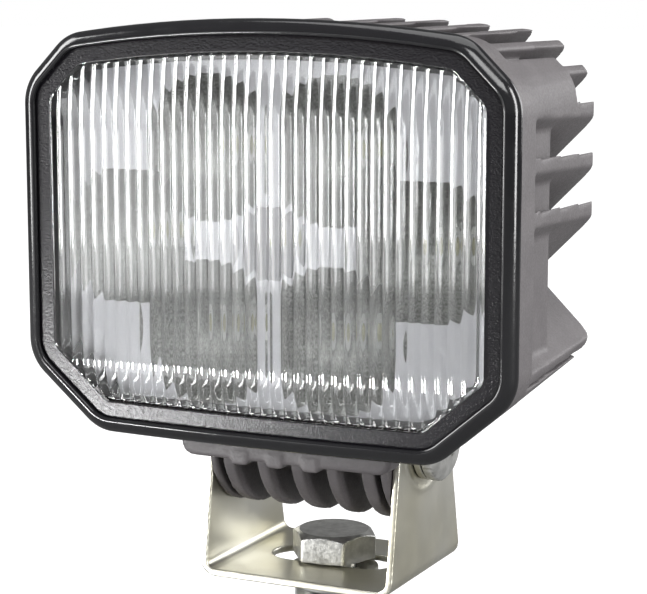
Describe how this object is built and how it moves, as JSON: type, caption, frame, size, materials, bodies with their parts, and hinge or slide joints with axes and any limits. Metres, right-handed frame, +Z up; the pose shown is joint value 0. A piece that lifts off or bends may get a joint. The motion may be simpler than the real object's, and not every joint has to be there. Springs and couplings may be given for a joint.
{
  "type": "fog light",
  "caption": "Rectangular LED fog lamp with fluted clear lens, cup reflectors and a finned die-cast housing, tilting on a U-shaped steel bracket with a hex mounting bolt.",
  "frame": {"origin": "where the mounting bolt's axis meets the underside of the bracket base", "axes": "+Z up along the mounting bolt, the lamp looks along -Y, +X is the right-hand side seen from in front of the lens"},
  "size_m": [0.1122, 0.0575, 0.1447],
  "materials": {
    "zinc_plate": "zinc-plated and yellow passivated sheet, satin",
    "steel": "bright zinc-plated fastener steel",
    "cast_housing": "die-cast aluminium, dark grey powder coat",
    "gloss_black": "glossy black moulding",
    "clear_lens": "clear polycarbonate with vertical flutes",
    "rubber_seal": "black silicone",
    "satin_black": "fine-grained black plastic",
    "reflector_metal": "vacuum-metallised, finely dimpled cups",
    "white_board": "white solder mask",
    "thermal_pad": "soft grey heat-conducting sheet",
    "circuit_board": "green solder mask",
    "led_phosphor": "yellow phosphor under a clear dome",
    "copper": "enamelled copper wire",
    "tinned_contact": "tin-plated contact"
  },
  "bodies": {
    "mount": {"mounting_bolt": "steel", "spring_washer": "steel", "hex_nut": "steel"},
    "washer": {"flat_washer": "zinc_plate"},
    "bracket": {"bracket": "zinc_plate"},
    "lamp": {"housing": "cast_housing", "bezel": "gloss_black", "lens": "clear_lens", "lens_gasket": "rubber_seal", "window_frame": "satin_black", "reflector": "reflector_metal", "led_board": "white_board", "thermal_pad": "thermal_pad", "driver_board": "circuit_board", "driver_inductor": "copper", "driver_chip": "satin_black", "driver_capacitor_1": "satin_black", "driver_capacitor_2": "satin_black", "connector_shell": "satin_black", "connector_seal": "rubber_seal", "contact_pin_left": "tinned_contact", "contact_pin_right": "tinned_contact", "vent_plug": "satin_black", "pivot_bolt_left": "steel", "pivot_bolt_right": "steel", "pivot_washer_left": "zinc_plate", "pivot_washer_right": "zinc_plate", "led_1": "led_phosphor", "led_2": "led_phosphor", "led_3": "led_phosphor", "led_4": "led_phosphor", "led_5": "led_phosphor", "led_6": "led_phosphor", "led_7": "led_phosphor", "board_screw_1": "steel", "board_screw_2": "steel", "board_screw_3": "steel", "board_screw_4": "steel"}
  },
  "joints": [
    {"name": "swivel", "type": "hinge", "parent": "mount", "child": "washer", "pos_m": [0, 0, 0], "axis": [0, 0, 1], "continuous": true},
    {"name": "slot_slide", "type": "slide", "parent": "washer", "child": "bracket", "axis": [1, 0, 0], "range_m": [-0.007, 0.007]},
    {"name": "tilt", "type": "hinge", "parent": "bracket", "child": "lamp", "pos_m": [0, -0.002, 0.0313], "axis": [1, 0, 0], "range_deg": [-75, 30]}
  ]
}
